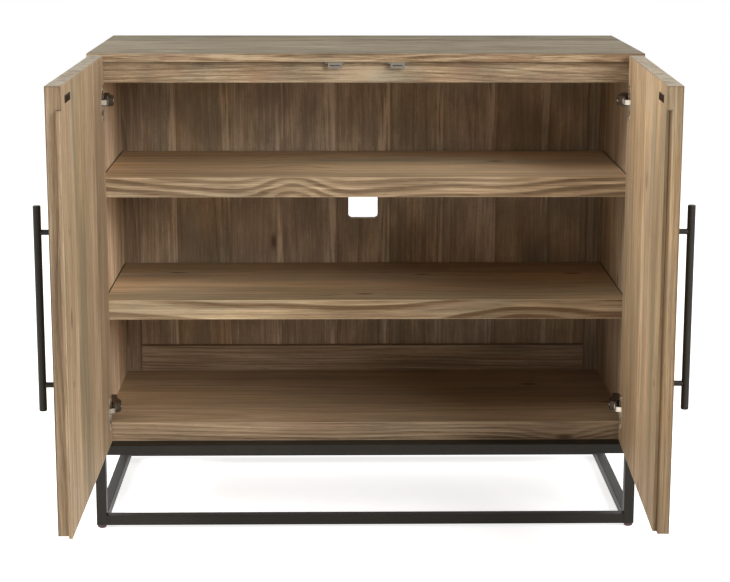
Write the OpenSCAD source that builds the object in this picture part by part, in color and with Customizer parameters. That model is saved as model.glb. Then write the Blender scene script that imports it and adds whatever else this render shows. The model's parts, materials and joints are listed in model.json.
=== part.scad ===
/* [Cabinet] */
// Width over the top panel and the side panels
width = 1016; // [800:1:1300]
// Depth of the top panel and the side panels
depth = 406; // [340:1:500]
// Height from the floor to the top surface
height = 895; // [840:1:1000]
// Thickness of the top panel
top_t = 16; // [14:0.5:22]
// Thickness of a side panel
side_t = 16; // [14:0.5:18]
// Thickness of the bottom panel
bottom_t = 35; // [25:0.5:45]

/* [Shelves] */
// Thickness of a shelf
shelf_t = 37; // [25:0.5:45]
// Distance from the carcass front to the front edge of a shelf
shelf_setback = 25.5; // [15:0.5:60]
// Clearance between a shelf and the panels round it
shelf_gap = 2; // [0.5:0.1:3]
// Height of the top face of the lower shelf above the floor
lower_shelf_top = 430; // [380:1:480]
// Height of the top face of the upper shelf above the floor
upper_shelf_top = 663; // [610:1:720]
// Diameter of the stem of a shelf support
support_stem_d = 5; // [4:0.5:7]
// Distance from either edge of a shelf to the middle of its supports
support_inset = 45; // [30:1:90]

/* [Front rail] */
// Height of the rail under the front of the top panel
rail_h = 38; // [28:0.5:50]
// Thickness of that rail
rail_t = 18; // [14:0.5:24]
// Distance from the carcass front to that rail
rail_setback = 12; // [12:0.5:20]

/* [Back] */
// Number of upright boards in the back
board_count = 9; // [3:2:11]
// Thickness of the back boards
board_t = 18; // [12:0.5:22]
// Gap between two back boards
board_gap = 0.4; // [0.3:0.1:1]
// Overlap of each back board behind the next
board_lap = 6; // [3:0.5:10]
// Thickness of the frame in front of the back boards
frame_t = 9; // [6:0.5:12]
// Width of an upright of that frame
stile_w = 32; // [20:1:45]
// Height of a crosspiece of that frame
back_rail_h = 55; // [30:1:70]
// Distance from the back edge to the back boards
back_recess = 10; // [4:1:16]
// Width and height of the cable hole
hole_w = 60; // [40:1:80]
// Corner radius of the cable hole
hole_r = 7; // [3:0.5:12]
// Height of the lower edge of the cable hole above the floor
hole_z = 521; // [490:1:540]

/* [Doors] */
// Thickness of a door
door_t = 25; // [24:0.5:26]
// Gap between a closed door and the carcass front
door_gap = 3.5; // [3.5:0.1:4.5]
// Gap between the two closed doors
middle_gap = 3; // [2:0.5:5]
// Distance from the top surface down to the top of a door
door_top_drop = 2.5; // [1:0.5:6]
// Gap between a door and the metal base
door_base_gap = 3.5; // [2:0.5:6]
// Angle at which the left door stands
left_open = 90; // [0:0.5:95]
// Angle at which the right door stands
right_open = 87.5; // [0:0.5:95]
// Thickness of the lip on the meeting edge of the left door
lip_t = 6; // [4:0.5:8]
// Reach of that lip past the edge
lip_w = 12; // [8:0.5:16]
// Clearance in front of that lip
lip_clear = 0.5; // [0.4:0.1:1.5]
// Clearance beside that lip
lip_side_clear = 4; // [2:0.5:6]
// Distance from the top of a door down to the start of the lip
lip_drop = 38; // [30:1:60]

/* [Hinges] */
// Height of the middle of the lower hinges above the bottom of a door
lower_hinge_up = 60.5; // [50:0.5:120]
// Distance of the middle of the upper hinges below the top of a door
upper_hinge_down = 84.5; // [60:0.5:140]
// Radius of a hinge cup
cup_r = 20; // [19.5:0.1:20.5]
// Depth of a hinge cup
cup_depth = 13.8; // [13.6:0.1:14.4]
// Wall of a hinge cup
cup_wall = 1.2; // [1:0.1:1.4]
// Distance from the door edge to the rim of the cup
cup_edge = 4; // [3.9:0.1:4.4]
// Thickness of the flange of a cup
flange_t = 1; // [0.8:0.1:1.2]
// Length of that flange
flange_len = 63; // [56:0.5:68]
// Height of a mounting plate
plate_h = 52; // [48:1:60]
// Width of a hinge arm
arm_w = 18; // [16:0.5:20]
// Width of a hinge link
link_w = 9; // [8:0.5:9.5]
// Half of the thickness of a hinge link
link_half_t = 1.3; // [1.2:0.1:1.5]
// Radius of the eyes of a hinge link
eye_r = 2.8; // [2.7:0.1:3]
// Diameter of a hinge pin
pin_d = 3; // [2.6:0.1:3.2]
// Running clearance round a hinge pin
pin_clear = 0.05; // [0.03:0.01:0.1]
// Clearance beside a hinge link
link_side_clear = 0.4; // [0.3:0.1:0.8]

/* [Handles] */
// Diameter of a handle bar
bar_d = 12.7; // [10:0.1:16]
// Length of a handle bar
bar_len = 336; // [280:1:420]
// Distance between the two posts of a handle
post_span = 250; // [160:1:300]
// Diameter of a post
post_d = 9; // [8:0.5:12]
// Distance from the door to the middle of the bar
bar_off = 26; // [22:0.5:40]
// Distance from the meeting edge to the handle
bar_inset = 52; // [40:1:90]

/* [Magnetic catches] */
// Distance from the middle of the cabinet to a catch
catch_x = 57; // [45:1:90]
// Width of a catch
catch_w = 26; // [20:1:34]
// Height of a catch
catch_h = 11; // [9:0.5:14]
// Distance from the middle of the cabinet to a strike plate
strike_x = 66; // [50:1:95]
// Length of a strike plate
strike_len = 50; // [40:1:60]
// Height of a strike plate
strike_h = 12; // [10:0.5:16]
// Thickness of a strike plate
strike_t = 1.5; // [1:0.1:2]
// Distance from the underside of the top panel down to the middle of a strike plate
strike_drop = 11; // [8:0.5:14]

/* [Base] */
// Side of the square base tube
tube = 19; // [15:0.5:25]
// Wall of the base tube
tube_wall = 1.5; // [1:0.1:3]
// Height of the top of the base above the floor
base_top = 164; // [140:1:200]
// Distance from the carcass front forward to the base front
base_front = 30; // [29:0.5:40]
// Height of a foot below the tube
foot_h = 7; // [4:0.5:12]
// Largest diameter of a foot
foot_d = 16; // [12:0.5:19]
// Smallest diameter of a foot
foot_tip_d = 13; // [8:0.5:16]
// Width of the flat strips that the carcass is screwed to
strip_w = 41; // [32:1:60]
// Thickness of those strips
strip_t = 3; // [2:0.5:4]

/* [Hidden] */
$fn = 48;
wood = "#9c7f5c";
dark_metal = "#38342f";
steel = "#a8a8a6";
plastic = "#5a4440";
// Clearance of a screw in its hole, and overrun of a cut past a face
hole_clear = 0.1;
cut = 1;
// Levels and planes of the carcass
front = -depth / 2;
inner_x = width / 2 - side_t;
top_under = height - top_t;
floor_top = base_top + bottom_t;
boards_y = depth / 2 - back_recess - board_t;
frame_y = boards_y - frame_t;
board_w = (2 * inner_x - (board_count - 1) * board_gap) / board_count;
shelf_d = frame_y - shelf_gap - (front + shelf_setback);
// Dowels between the panels: diameter, length, and how deep they sit in the thinner panel
dowel_d = 8;
dowel_len = 30;
dowel_seat = 10;
dowel_inset = 40;
// Shelf supports
pad_len = 8;
pad_w = 12;
pad_h = 5;
stem_len = 9;
// Door sizes, in the hinge frame: u inward from the side, v forward from the carcass front
door_w = (width - middle_gap) / 2;
door_bottom = base_top + door_base_gap;
door_top = height - door_top_drop;
rebate_t = lip_t + lip_clear;
rebate_w = lip_w + lip_side_clear - middle_gap;
hinge_heights = [door_bottom + lower_hinge_up, door_top - upper_hinge_down];
// Hinge pivots in the hinge frame, and the share of the swing that a link turns back
arm_pin_in = 20;
arm_pin_back = 2;
cup_pin_in = 8.5;
cup_pin_deep = 7;
arm_pin = [side_t + arm_pin_in, -arm_pin_back];
cup_pin = [cup_edge + cup_pin_in, door_gap + cup_pin_deep];
link_ratio = -0.39;
// Knee of the bent link, along and beside the line from arm pin to cup pin
knee_along = 16;
knee_beside = -9;
knee_r = link_half_t + 0.3;
cup_u = cup_edge + cup_r;
cup_hole_clear = 0.1;
cheek_w = 5;
ear_w = 17;
ear_screw_z = 26;
cup_screw_u = cup_u - 2;
// Arm and plate of a hinge
plate_t = 3;
spine_t = 5;
spine_h = 18;
plate_front = -16;
plate_back = -60;
wing_front = -30;
wing_back = -44;
plate_screw_z = 20;
nose_r = 3.4;
arm_nose = 8;
arm_bend = 14;
arm_tail = 2;
arm_reach = 29;
arm_rear_reach = 17;
arm_top = side_t + arm_reach;
arm_rear = side_t + arm_rear_reach;
rear_screw_v = -52;
arm_screw = [4, 3, 7, 1.8];
// Screws: diameter, length, head diameter, head height
small_screw = [3, 13, 6, 1.6];
post_bore = 12;
bolt_sunk = 6;
plug_d = 12;
plug_t = 3.2;
handle_bolt = [4, door_t - bolt_sunk + post_bore - 1, 8, 2.4];
base_screw = [4.5, 22, 9, 2.5];
catch_screw = [2.5, 11, 5, 1.4];
// Catches
catch_front = 0.8;
pole_out = 0.4;
pole_t = 1.4;
pole_gap = 4;
ear_reach = 5;
catch_ear_t = 2;
strike_z = top_under - strike_drop;
strike_screw = [3, 13, 5.5, 0.3];
strike_screw_x = 18;
// Foot plug in the leg
plug_len = 15;
plug_clear = 0.2;
base_screw_x = [for (share = [-0.39, -0.14, 0.14, 0.39]) share * width];

function turned(a, p) = [cos(a) * p[0] - sin(a) * p[1], sin(a) * p[0] + cos(a) * p[1]];
// Place of the cup pin when the door stands open by an angle
function cup_pin_at(a) = arm_pin + turned(link_ratio * a, cup_pin - arm_pin);
function unit(p) = p / norm(p);
link_dir = unit(cup_pin - arm_pin);
knee = arm_pin + knee_along * link_dir + knee_beside * [-link_dir[1], link_dir[0]];

// Box from its lowest to its highest corner
module block(a, b) {
  translate(a) cube(b - a);
}

// Right half of the cabinet in the hinge frame; the left half is its mirror image
module hinge_frame(side) {
  mirror([side < 0 ? 1 : 0, 0, 0])
    translate([width / 2, front, 0])
      rotate([0, 0, 180])
        children();
}

// Pieces of the door, carried open by an angle
module on_door(side, angle) {
  q = cup_pin_at(angle);
  hinge_frame(side)
    translate([q[0], q[1], 0])
      rotate([0, 0, angle])
        translate([-cup_pin[0], -cup_pin[1], 0])
          children();
}

module at_hinges() {
  for (z = hinge_heights) translate([0, 0, z]) children();
}

// Screw with its head above the plane z = 0 and its shank below
module screw(s) {
  cylinder(d = s[2], h = s[3]);
  translate([0, 0, -s[1]]) cylinder(d = s[0], h = s[1]);
}

// Hole for the shank of that screw
module screw_hole(s, extra = 0.5) {
  translate([0, 0, -s[1] - extra]) cylinder(d = s[0] + 2 * hole_clear, h = s[1] + extra + cut);
}

// Turns a screw so that its head points along plus or minus u, or against v
module head_to_plus_u() { rotate([0, 90, 0]) children(); }
module head_to_minus_v() { rotate([90, 0, 0]) children(); }

module catch_screw_places() {
  for (s = [-1, 1], e = [-1, 1])
    translate([s * catch_x + e * (catch_w / 2 + ear_reach / 2), front + 6, top_under - catch_ear_t])
      rotate([180, 0, 0])
        children();
}

// Dowels, or with a clearance their holes: upright ones between the top panel and the side panels,
// level ones from the bottom panel and the front rail into the side panels
module dowel_set(clear) {
  d = dowel_d + 2 * clear;
  len = dowel_len + 4 * clear;
  rail_y = front + rail_setback + rail_t / 2;
  for (side = [-1, 1])
    mirror([side < 0 ? 1 : 0, 0, 0]) {
      for (y = [front + dowel_inset, 0, -front - dowel_inset]) {
        translate([width / 2 - side_t / 2, y, top_under + dowel_seat + 2 * clear - len])
          cylinder(d = d, h = len);
        translate([inner_x + dowel_seat + 2 * clear, y, base_top + bottom_t / 2]) level_dowel(d, len);
      }
      translate([inner_x + dowel_seat + 2 * clear, rail_y, top_under - rail_h / 2]) level_dowel(d, len);
    }
}

// Dowel lying along x, its outer end at the origin
module level_dowel(d, len) {
  rotate([0, -90, 0]) cylinder(d = d, h = len);
}

module dowels() {
  color(wood) dowel_set(0);
}

module top_panel() {
  color(wood)
    difference() {
      block([-width / 2, front, top_under], [width / 2, depth / 2, height]);
      catch_screw_places() screw_hole(catch_screw);
      dowel_set(hole_clear);
    }
}

module support_places() {
  for (z = [lower_shelf_top - shelf_t, upper_shelf_top - shelf_t])
    for (y = [front + shelf_setback + support_inset, frame_y - shelf_gap - support_inset])
      translate([inner_x, y, z - pad_h / 2])
        children();
}

module side_panel(side) {
  color(wood)
    mirror([side < 0 ? 1 : 0, 0, 0])
      difference() {
        block([inner_x, front, base_top], [width / 2, depth / 2, top_under]);
        support_places()
          translate([-cut, 0, 0])
            rotate([0, 90, 0])
              cylinder(d = support_stem_d + 2 * hole_clear, h = stem_len + cut + 1);
        hinge_frame(1) at_hinges() plate_screw_places() screw_hole(small_screw);
        dowel_set(hole_clear);
      }
}

module bottom_panel() {
  color(wood)
    difference() {
      block([-inner_x, front, base_top], [inner_x, depth / 2 - back_recess, floor_top]);
      base_screw_places() screw_hole(base_screw);
      dowel_set(hole_clear);
    }
}

module front_top_rail() {
  color(wood)
    difference() {
      block([-inner_x, front + rail_setback, top_under - rail_h],
            [inner_x, front + rail_setback + rail_t, top_under]);
      dowel_set(hole_clear);
    }
}

module cable_hole() {
  x = hole_w / 2 - hole_r;
  translate([0, boards_y - cut, hole_z + hole_w / 2])
    rotate([-90, 0, 0])
      linear_extrude(board_t + 2 * cut) {
        square([hole_w, 2 * x], center = true);
        square([2 * x, hole_w], center = true);
        for (a = [-x, x], b = [-x, x]) translate([a, b]) circle(hole_r);
      }
}

// Outline of a back board, half lapped on the sides that have a neighbour
module board_outline(left_lap, right_lap) {
  translate([left_lap, 0]) square([board_w - left_lap, board_t]);
  square([board_w, board_t / 2 - board_gap]);
  translate([left_lap, board_t / 2]) square([board_w - left_lap + right_lap, board_t / 2]);
}

module back_boards() {
  last = board_count - 1;
  color(wood)
    difference() {
      for (i = [0 : last])
        translate([-inner_x + i * (board_w + board_gap), boards_y, floor_top])
          linear_extrude(top_under - floor_top)
            board_outline(i > 0 ? board_lap : 0, i < last ? board_lap : 0);
      cable_hole();
    }
}

module back_stile(side) {
  color(wood)
    mirror([side < 0 ? 1 : 0, 0, 0])
      block([inner_x - stile_w, frame_y, floor_top], [inner_x, boards_y, top_under]);
}

module back_rail(z) {
  color(wood)
    block([stile_w - inner_x, frame_y, z], [inner_x - stile_w, boards_y, z + back_rail_h]);
}

module shelf(top) {
  color(wood)
    translate([shelf_gap - inner_x, front + shelf_setback, top - shelf_t])
      cube([2 * (inner_x - shelf_gap), shelf_d, shelf_t]);
}

module shelf_supports() {
  color(steel)
    for (side = [-1, 1])
      mirror([side < 0 ? 1 : 0, 0, 0])
        support_places() {
          translate([-pad_len, -pad_w / 2, -pad_h / 2]) cube([pad_len, pad_w, pad_h]);
          rotate([0, 90, 0]) cylinder(d = support_stem_d, h = stem_len);
        }
}

module plate_screw_places() {
  for (z = [-plate_screw_z, plate_screw_z])
    translate([side_t + plate_t, (wing_front + wing_back) / 2, z])
      head_to_plus_u()
        children();
}

module hinge_plates() {
  color(steel)
    for (side = [-1, 1])
      hinge_frame(side)
        at_hinges()
          difference() {
            union() {
              block([side_t, wing_back, -plate_h / 2], [side_t + plate_t, wing_front, plate_h / 2]);
              block([side_t, plate_back, -spine_h / 2], [side_t + spine_t, plate_front, spine_h / 2]);
            }
            plate_screw_places() screw_hole(small_screw);
          }
}

module plate_screws() {
  color(steel)
    for (side = [-1, 1]) hinge_frame(side) at_hinges() plate_screw_places() screw(small_screw);
}

module arm_outline() {
  low = side_t + spine_t;
  polygon([
    [low, plate_back - arm_tail], [low, plate_front - arm_nose], [arm_pin[0] - nose_r, -arm_nose],
    [arm_pin[0] - nose_r, arm_pin[1]], [arm_pin[0] + nose_r, arm_pin[1]],
    [arm_top, -arm_nose], [arm_top, -arm_nose - arm_bend], [arm_rear, plate_back / 2 - arm_bend],
    [arm_rear, plate_back - arm_tail]
  ]);
  translate(arm_pin) circle(nose_r);
}

module hinge_arms() {
  slot = link_w / 2 + link_side_clear;
  color(steel)
    for (side = [-1, 1])
      hinge_frame(side)
        at_hinges()
          difference() {
            translate([0, 0, -arm_w / 2]) linear_extrude(arm_w) arm_outline();
            block([side_t, arm_pin[1] - eye_r - 1, -slot], [arm_top + cut, 10, slot]);
            translate([arm_pin[0], arm_pin[1], -arm_w / 2 - cut])
              cylinder(d = pin_d + 2 * pin_clear, h = arm_w + 2 * cut);
            arm_screw_places() screw_hole(arm_screw, 0);
          }
}

module arm_screw_places() {
  translate([arm_top, -arm_nose - arm_bend / 2, 0]) head_to_plus_u() children();
  translate([arm_rear, rear_screw_v, 0]) head_to_plus_u() children();
}

module arm_screws() {
  color(steel)
    for (side = [-1, 1])
      hinge_frame(side) at_hinges() arm_screw_places() screw(arm_screw);
}

module arm_pins() {
  color(steel)
    for (side = [-1, 1])
      hinge_frame(side)
        at_hinges()
          translate([arm_pin[0], arm_pin[1], -arm_w / 2])
            cylinder(d = pin_d, h = arm_w);
}

// Straight stretch of a link between two points of the hinge frame
module link_bar(a, b) {
  d = b - a;
  translate(a)
    rotate(atan2(d[1], d[0]))
      translate([0, -link_half_t])
        square([norm(d), 2 * link_half_t]);
}

module link_outline() {
  difference() {
    union() {
      link_bar(arm_pin, knee);
      link_bar(knee, cup_pin);
      translate(arm_pin) circle(eye_r);
      translate(knee) circle(knee_r);
      translate(cup_pin) circle(eye_r);
    }
    translate(arm_pin) circle(pin_d / 2 + pin_clear);
    translate(cup_pin) circle(pin_d / 2 + pin_clear);
  }
}

module links(side, angle) {
  color(steel)
    hinge_frame(side)
      translate([arm_pin[0], arm_pin[1], 0])
        rotate([0, 0, link_ratio * angle])
          translate([-arm_pin[0], -arm_pin[1], 0])
            at_hinges()
              translate([0, 0, -link_w / 2])
                linear_extrude(link_w)
                  link_outline();
}

module cup_screw_places() {
  for (z = [-ear_screw_z, ear_screw_z])
    translate([cup_screw_u, door_gap - flange_t, z])
      head_to_minus_v()
        children();
}

// Round disc of the hinge frame, its axis along v
module disc(r, v0, v1) {
  translate([cup_u, v0, 0]) rotate([-90, 0, 0]) cylinder(r = r, h = v1 - v0);
}

module cups(side, angle) {
  inside_r = cup_r - cup_wall;
  cup_floor = door_gap + cup_depth - cup_wall;
  slot = link_w / 2 + link_side_clear;
  color(steel)
    on_door(side, angle)
      at_hinges()
        difference() {
          union() {
            difference() {
              union() {
                disc(cup_r, door_gap - flange_t, door_gap + cup_depth);
                disc(cup_r + 1.5, door_gap - flange_t, door_gap);
                block([cup_screw_u - ear_w / 2, door_gap - flange_t, -flange_len / 2],
                      [cup_screw_u + ear_w / 2, door_gap, flange_len / 2]);
              }
              disc(inside_r, door_gap - flange_t - cut, cup_floor);
            }
            for (z = [-slot - cheek_w, slot])
              block([cup_pin[0] - 3.5, cup_pin[1] - 3.5, z],
                    [cup_pin[0] + 3.5, cup_floor + cup_wall / 2, z + cheek_w]);
          }
          cup_screw_places() screw_hole(small_screw);
          translate([cup_pin[0], cup_pin[1], -slot - cheek_w - cut])
            cylinder(d = pin_d + 2 * pin_clear, h = 2 * (slot + cheek_w + cut));
        }
}

module cup_pins(side, angle) {
  len = link_w + 2 * (link_side_clear + cheek_w);
  color(steel)
    on_door(side, angle)
      at_hinges()
        translate([cup_pin[0], cup_pin[1], -len / 2])
          cylinder(d = pin_d, h = len);
}

module cup_screws(side, angle) {
  color(steel) on_door(side, angle) at_hinges() cup_screw_places() screw(small_screw);
}

handle_u = door_w - bar_inset;
handle_z = (door_bottom + door_top) / 2;

module handle_places() {
  for (e = [-1, 1]) translate([handle_u, 0, handle_z + e * post_span / 2]) children();
}

module strike_screw_places() {
  for (e = [-1, 1])
    translate([width / 2 - strike_x + e * strike_screw_x, door_gap - strike_t, strike_z])
      head_to_minus_v()
        children();
}

module door_panel(side, angle) {
  color(wood)
    on_door(side, angle)
      difference() {
        union() {
          block([0, door_gap, door_bottom], [door_w, door_gap + door_t, door_top]);
          if (side < 0)
            block([door_w, door_gap, door_bottom], [door_w + lip_w, door_gap + lip_t, door_top - lip_drop]);
        }
        if (side > 0)
          block([door_w - rebate_w, door_gap - cut, door_bottom - cut],
                [door_w + cut, door_gap + rebate_t, door_top - lip_drop]);
        at_hinges() {
          disc(cup_r + cup_hole_clear, door_gap - cut, door_gap + cup_depth + cup_hole_clear);
          cup_screw_places() screw_hole(small_screw);
        }
        handle_places() {
          translate([0, door_gap - cut, 0])
            rotate([-90, 0, 0])
              cylinder(d = handle_bolt[0] + 2 * hole_clear, h = door_t + 2 * cut);
          translate([0, door_gap + bolt_sunk, 0])
            head_to_minus_v()
              cylinder(d = plug_d + 2 * hole_clear, h = bolt_sunk + cut);
        }
        strike_screw_places() screw_hole(strike_screw);
      }
}

module handle_bar(side, angle) {
  color(dark_metal)
    on_door(side, angle)
      translate([handle_u, door_gap + door_t + bar_off, handle_z - bar_len / 2])
        cylinder(d = bar_d, h = bar_len);
}

module handle_posts(side, angle) {
  color(dark_metal)
    on_door(side, angle)
      handle_places()
        translate([0, door_gap + door_t, 0])
          difference() {
            rotate([-90, 0, 0]) cylinder(d = post_d, h = bar_off);
            translate([0, bar_off, -post_d]) cylinder(d = bar_d + 0.04, h = 2 * post_d);
            translate([0, -cut, 0])
              rotate([-90, 0, 0])
                cylinder(d = handle_bolt[0] + 2 * hole_clear, h = post_bore + cut);
          }
}

module handle_bolts(side, angle) {
  color(steel)
    on_door(side, angle)
      handle_places()
        translate([0, door_gap + bolt_sunk, 0])
          head_to_minus_v()
            screw(handle_bolt);
}

// Wooden plugs over the sunk heads of the handle bolts
module bolt_plugs(side, angle) {
  color(wood)
    on_door(side, angle)
      handle_places()
        translate([0, door_gap + plug_t, 0])
          head_to_minus_v()
            cylinder(d = plug_d, h = plug_t);
}

module strike_plate(side, angle) {
  u = width / 2 - strike_x;
  color(steel)
    on_door(side, angle)
      difference() {
        block([u - strike_len / 2, door_gap - strike_t, strike_z - strike_h / 2],
              [u + strike_len / 2, door_gap, strike_z + strike_h / 2]);
        strike_screw_places() screw_hole(strike_screw);
      }
}

module strike_screws(side, angle) {
  color(steel) on_door(side, angle) strike_screw_places() screw(strike_screw);
}

module at_catches() {
  for (s = [-1, 1]) translate([s * catch_x, front, top_under]) children();
}

module catch_housings() {
  color(plastic)
    difference() {
      at_catches()
        difference() {
          union() {
            block([-catch_w / 2, -catch_front, -catch_h], [catch_w / 2, rail_setback - 0.5, 0]);
            block([-catch_w / 2 - ear_reach, 1, -catch_ear_t],
                  [catch_w / 2 + ear_reach, rail_setback - 1, 0]);
          }
          for (e = [-1, 1]) pole_block(e, 0.05);
        }
      catch_screw_places() screw_hole(catch_screw);
    }
}

// Space of one pole plate, let into the front of the housing
module pole_block(e, clear) {
  z = -catch_h / 2 + e * pole_gap / 2;
  block([3 - catch_w / 2 - clear, -catch_front - pole_out, z - pole_t / 2 - clear],
        [catch_w / 2 - 3 + clear, rail_setback - 3 + clear, z + pole_t / 2 + clear]);
}

module catch_poles() {
  color(steel) at_catches() for (e = [-1, 1]) pole_block(e, 0);
}

module catch_screws() {
  color(steel) catch_screw_places() screw(catch_screw);
}

module leg(x, y) {
  color(dark_metal)
    translate([x * (width / 2 - tube / 2), y, foot_h])
      difference() {
        translate([-tube / 2, -tube / 2, 0]) cube([tube, tube, base_top - foot_h]);
        translate([tube_wall - tube / 2, tube_wall - tube / 2, -cut])
          cube([tube - 2 * tube_wall, tube - 2 * tube_wall, base_top - foot_h - tube_wall + cut]);
      }
}

leg_front = front - base_front + tube / 2;
leg_back = depth / 2 - tube / 2;
upper_z = base_top - tube;

module cross_tube(y, z) {
  len = width - 2 * tube;
  color(dark_metal)
    translate([-len / 2, y - tube / 2, z])
      difference() {
        cube([len, tube, tube]);
        translate([-cut, tube_wall, tube_wall])
          cube([len + 2 * cut, tube - 2 * tube_wall, tube - 2 * tube_wall]);
      }
}

module side_tube(x, z) {
  len = leg_back - leg_front - tube;
  color(dark_metal)
    translate([x * (width / 2 - tube / 2) - tube / 2, leg_front + tube / 2, z])
      difference() {
        cube([tube, len, tube]);
        translate([tube_wall, -cut, tube_wall])
          cube([tube - 2 * tube_wall, len + 2 * cut, tube - 2 * tube_wall]);
      }
}

strip_screw_in = 12;

module base_screw_places() {
  in = tube / 2 + strip_w - strip_screw_in;
  for (x = base_screw_x)
    for (y = [leg_front + in, leg_back - in])
      translate([x, y, base_top - strip_t])
        rotate([180, 0, 0])
          children();
}

module strip(y) {
  color(dark_metal)
    difference() {
      block([tube - width / 2, y, base_top - strip_t], [width / 2 - tube, y + strip_w, base_top]);
      base_screw_places() screw_hole(base_screw);
    }
}

module base_screws() {
  color(steel) base_screw_places() screw(base_screw);
}

module feet() {
  plug = tube - 2 * tube_wall - 2 * plug_clear;
  color(plastic)
    for (x = [-1, 1], y = [leg_front, leg_back])
      translate([x * (width / 2 - tube / 2), y, 0]) {
        cylinder(d1 = foot_tip_d, d2 = foot_d, h = foot_h);
        translate([-plug / 2, -plug / 2, foot_h]) cube([plug, plug, plug_len]);
      }
}

top_panel();
side_panel(-1);  // left_side_panel
side_panel(1);  // right_side_panel
bottom_panel();
front_top_rail();
back_boards();
back_stile(-1);  // left_back_stile
back_stile(1);  // right_back_stile
back_rail(top_under - back_rail_h);  // top_back_rail
back_rail(floor_top);  // bottom_back_rail
shelf(upper_shelf_top);  // upper_shelf
shelf(lower_shelf_top);  // lower_shelf
shelf_supports();
dowels();
hinge_plates();
plate_screws();
hinge_arms();
arm_screws();
arm_pins();
catch_housings();
catch_poles();
catch_screws();
leg(-1, leg_front);  // front_left_leg
leg(1, leg_front);  // front_right_leg
leg(-1, leg_back);  // back_left_leg
leg(1, leg_back);  // back_right_leg
cross_tube(leg_front, upper_z);  // front_upper_tube
cross_tube(leg_front, foot_h);  // front_lower_tube
cross_tube(leg_back, upper_z);  // back_upper_tube
cross_tube(leg_back, foot_h);  // back_lower_tube
side_tube(-1, upper_z);  // left_upper_tube
side_tube(-1, foot_h);  // left_lower_tube
side_tube(1, upper_z);  // right_upper_tube
side_tube(1, foot_h);  // right_lower_tube
strip(leg_front + tube / 2);  // front_strip
strip(leg_back - tube / 2 - strip_w);  // back_strip
base_screws();
feet();
links(-1, left_open);  // left_links
links(1, right_open);  // right_links
door_panel(-1, left_open);  // left_door_panel
cups(-1, left_open);  // left_cups
cup_pins(-1, left_open);  // left_cup_pins
cup_screws(-1, left_open);  // left_cup_screws
handle_bar(-1, left_open);  // left_handle_bar
handle_posts(-1, left_open);  // left_handle_posts
handle_bolts(-1, left_open);  // left_handle_bolts
bolt_plugs(-1, left_open);  // left_bolt_plugs
strike_plate(-1, left_open);  // left_strike_plate
strike_screws(-1, left_open);  // left_strike_screws
door_panel(1, right_open);  // right_door_panel
cups(1, right_open);  // right_cups
cup_pins(1, right_open);  // right_cup_pins
cup_screws(1, right_open);  // right_cup_screws
handle_bar(1, right_open);  // right_handle_bar
handle_posts(1, right_open);  // right_handle_posts
handle_bolts(1, right_open);  // right_handle_bolts
bolt_plugs(1, right_open);  // right_bolt_plugs
strike_plate(1, right_open);  // right_strike_plate
strike_screws(1, right_open);  // right_strike_screws
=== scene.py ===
import json
import math

import bmesh
import bpy
import numpy
from mathutils import Matrix, Vector

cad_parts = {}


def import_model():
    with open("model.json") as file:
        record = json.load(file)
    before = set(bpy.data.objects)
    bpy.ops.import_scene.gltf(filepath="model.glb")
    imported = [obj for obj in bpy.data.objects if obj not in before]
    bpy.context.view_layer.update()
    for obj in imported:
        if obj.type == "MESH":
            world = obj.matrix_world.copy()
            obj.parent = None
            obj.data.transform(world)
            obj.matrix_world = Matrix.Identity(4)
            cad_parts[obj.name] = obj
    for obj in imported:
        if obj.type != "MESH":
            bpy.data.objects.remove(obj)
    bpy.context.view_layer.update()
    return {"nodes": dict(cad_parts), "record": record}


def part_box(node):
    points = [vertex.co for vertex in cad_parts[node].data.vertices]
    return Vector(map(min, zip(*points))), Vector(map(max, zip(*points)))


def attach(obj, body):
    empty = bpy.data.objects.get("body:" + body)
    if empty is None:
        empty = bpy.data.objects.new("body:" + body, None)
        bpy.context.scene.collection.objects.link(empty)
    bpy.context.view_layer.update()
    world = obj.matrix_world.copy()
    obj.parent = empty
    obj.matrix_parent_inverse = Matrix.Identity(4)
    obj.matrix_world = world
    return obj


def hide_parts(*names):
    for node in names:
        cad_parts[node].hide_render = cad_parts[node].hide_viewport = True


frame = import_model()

NODES = frame["nodes"]
BODY = {node: body for body, nodes in frame["record"]["behaviour"]["bodies"].items() for node in nodes}
SLOT = {entry["node"]: entry["material_slot"] for entry in frame["record"]["subparts"]}

# Colours as they are seen (sRGB, 0 to 255)
PINE_LIGHT = (208, 181, 146)
PINE_MID = (162, 135, 102)
PINE_DARK = (94, 72, 50)
PINE_GREY = (154, 147, 126)
PINE_RED = (166, 130, 104)
PINE_KNOT = (84, 60, 42)
PINE_WORN = (200, 176, 144)
# Dark edges and dark lines along edges, and painted shade in gaps, joints and recesses
PINE_SHADE_AND_DARK_EDGE = (86, 66, 46)
# End grain, lighter and greyer with painted sheen that the tops catch
PINE_END_AND_SHEEN = (156, 148, 128)
PINE_END_DARK = (122, 110, 92)
PINE_END_STAIN = (98, 80, 60)
# Greenish grey of the painted sheen on the top panel's upper face, with a weathered tint
PINE_SHEEN_GREEN = (163, 163, 140)
BRONZE = (33, 29, 22)
BRONZE_WORN = (64, 57, 48)
NICKEL = (146, 137, 123)
NICKEL_CLOUD = (122, 113, 101)
# One hinge plating in two more copies: darker as painted shade on the arms and mounting plates, lighter as
# painted light on the cups and the right links
NICKEL_PAINTED_SHADE = (98, 90, 80)
NICKEL_PAINTED_SHADE_CLOUD = (78, 70, 62)
NICKEL_PAINTED_LIGHT = (212, 202, 186)
NICKEL_PAINTED_LIGHT_CLOUD = (190, 178, 162)
STRIKE = (60, 51, 43)
STRIKE_CLOUD = (96, 82, 68)
FERRITE = (40, 36, 34)
HOUSING = (108, 102, 90)
FOOT = (72, 44, 46)


def linear(colour):
    """sRGB 0 to 255 as linear values with alpha, as the shader sockets take them."""
    parts = [c / 255 for c in colour]
    return tuple(c / 12.92 if c <= 0.04045 else ((c + 0.055) / 1.055) ** 2.4 for c in parts) + (1.0,)


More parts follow.
